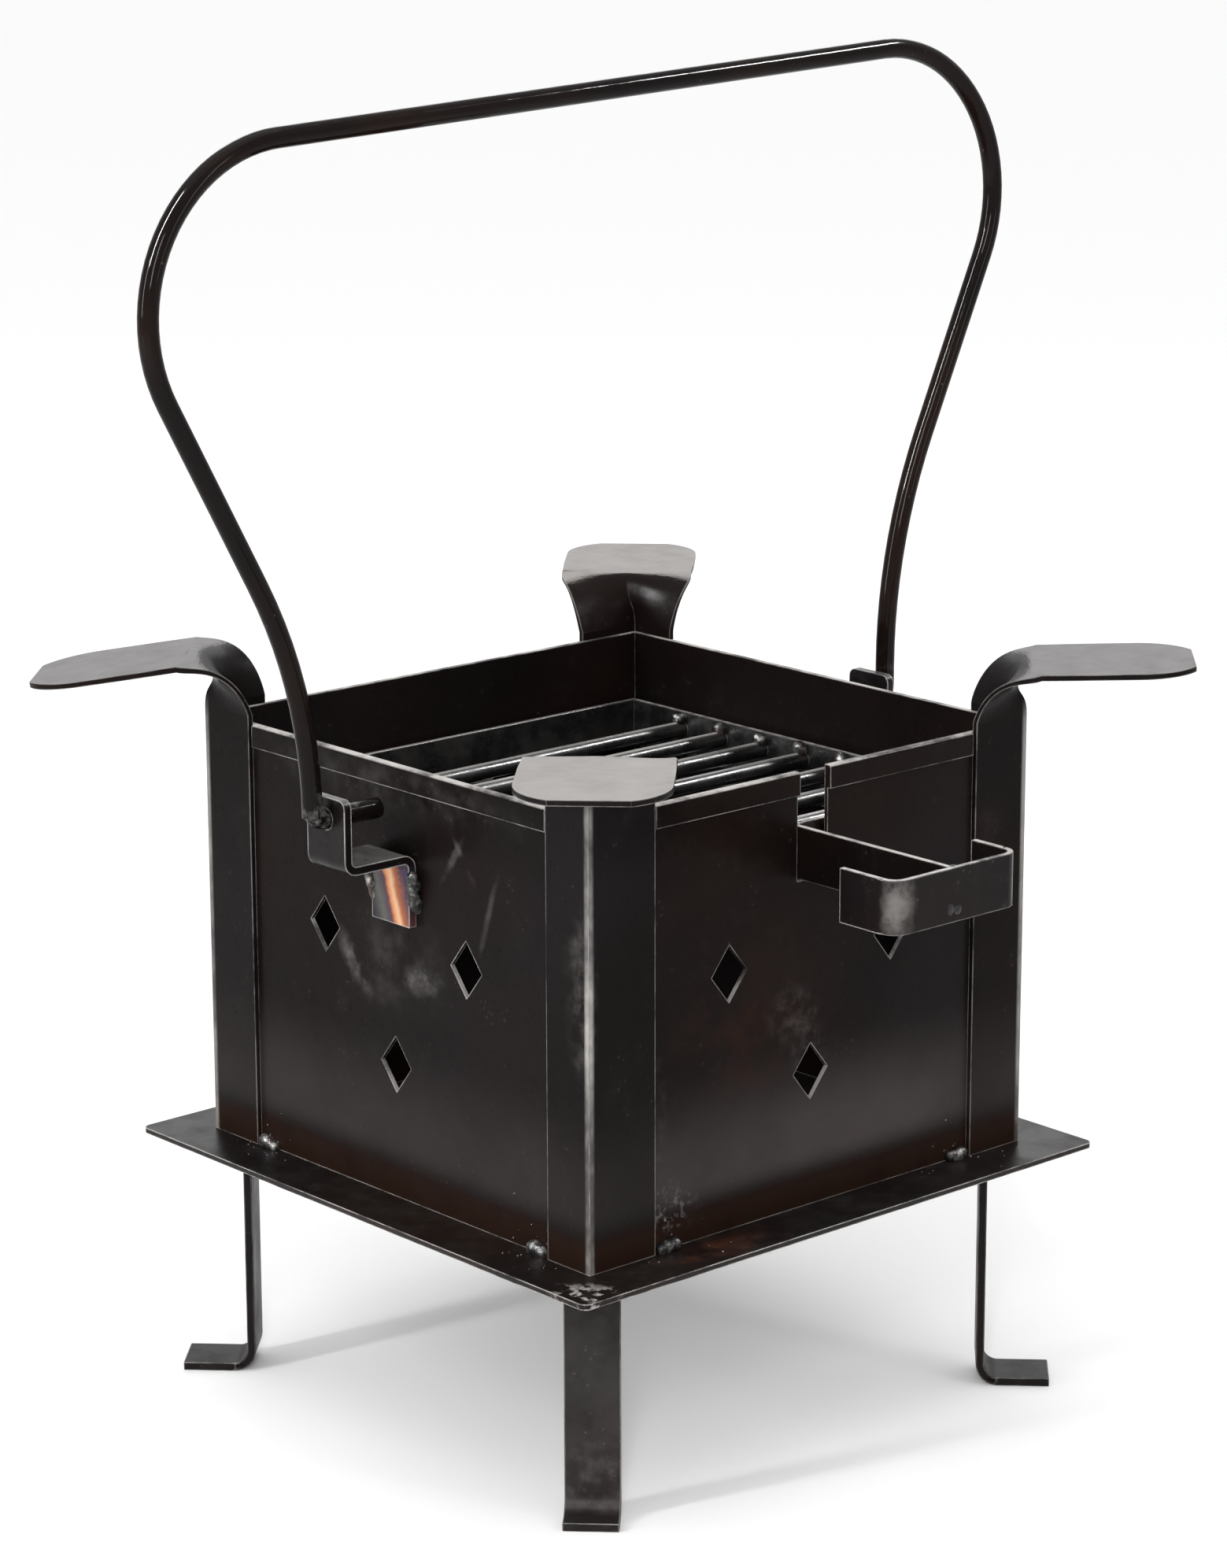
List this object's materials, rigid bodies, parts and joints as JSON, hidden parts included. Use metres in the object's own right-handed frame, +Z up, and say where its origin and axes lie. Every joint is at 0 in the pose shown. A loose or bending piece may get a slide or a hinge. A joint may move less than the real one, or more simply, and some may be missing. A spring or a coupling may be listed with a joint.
{
  "type": "rocket stove",
  "caption": "Square sheet-steel charcoal stove on strip legs, with corner pot rests, a swinging wire bail and a lift-out bar grate with a strip handle.",
  "frame": {"origin": "on the floor, under the middle of the firebox", "axes": "+Z up; -Y is the front, with the rim slot and the grate handle; the bail's lugs are on -X and +X"},
  "size_m": [0.3887, 0.3266, 0.472],
  "materials": {
    "firebox": "semi-gloss black paint, smudged",
    "base": "semi-gloss black paint",
    "posts": "semi-gloss black paint, worn edges",
    "flat_bar": "semi-gloss black paint, worn edges",
    "wire": "gloss black paint",
    "grate": "thin black paint",
    "handle_strip": "semi-gloss black paint",
    "weld": "rough weld bead under thin paint"
  },
  "bodies": {
    "stove": {"base_plate": "base", "wall_front": "firebox", "wall_right": "firebox", "wall_rear": "firebox", "wall_left": "firebox", "post_front": "posts", "post_right": "posts", "post_back": "posts", "post_left": "posts", "leg_front": "flat_bar", "leg_right": "flat_bar", "leg_back": "flat_bar", "leg_left": "flat_bar", "lug_left": "flat_bar", "lug_right": "flat_bar", "grate_ledge_front": "flat_bar", "grate_ledge_right": "flat_bar", "grate_ledge_rear": "flat_bar", "grate_ledge_left": "flat_bar", "beads_wall": "weld", "beads_leg": "weld", "beads_lug": "weld"},
    "bail": {"bail_handle": "wire"},
    "grate": {"grate_ring_front": "grate", "grate_ring_right": "grate", "grate_ring_rear": "grate", "grate_ring_left": "grate", "grate_rod_1": "grate", "grate_rod_2": "grate", "grate_rod_3": "grate", "grate_rod_4": "grate", "grate_rod_5": "grate", "grate_rod_6": "grate", "grate_rod_7": "grate", "grate_arm": "handle_strip", "grate_grip": "handle_strip", "beads_rod": "weld", "beads_grip": "weld"}
  },
  "joints": [
    {"name": "bail_swing", "type": "hinge", "parent": "stove", "child": "bail", "pos_m": [0, -0.002, 0.2305], "axis": [1, 0, 0], "range_deg": [-150, 150]},
    {"name": "grate_lift", "type": "slide", "parent": "stove", "child": "grate", "axis": [0, 0, 1], "range_m": [0, 0.1]}
  ]
}
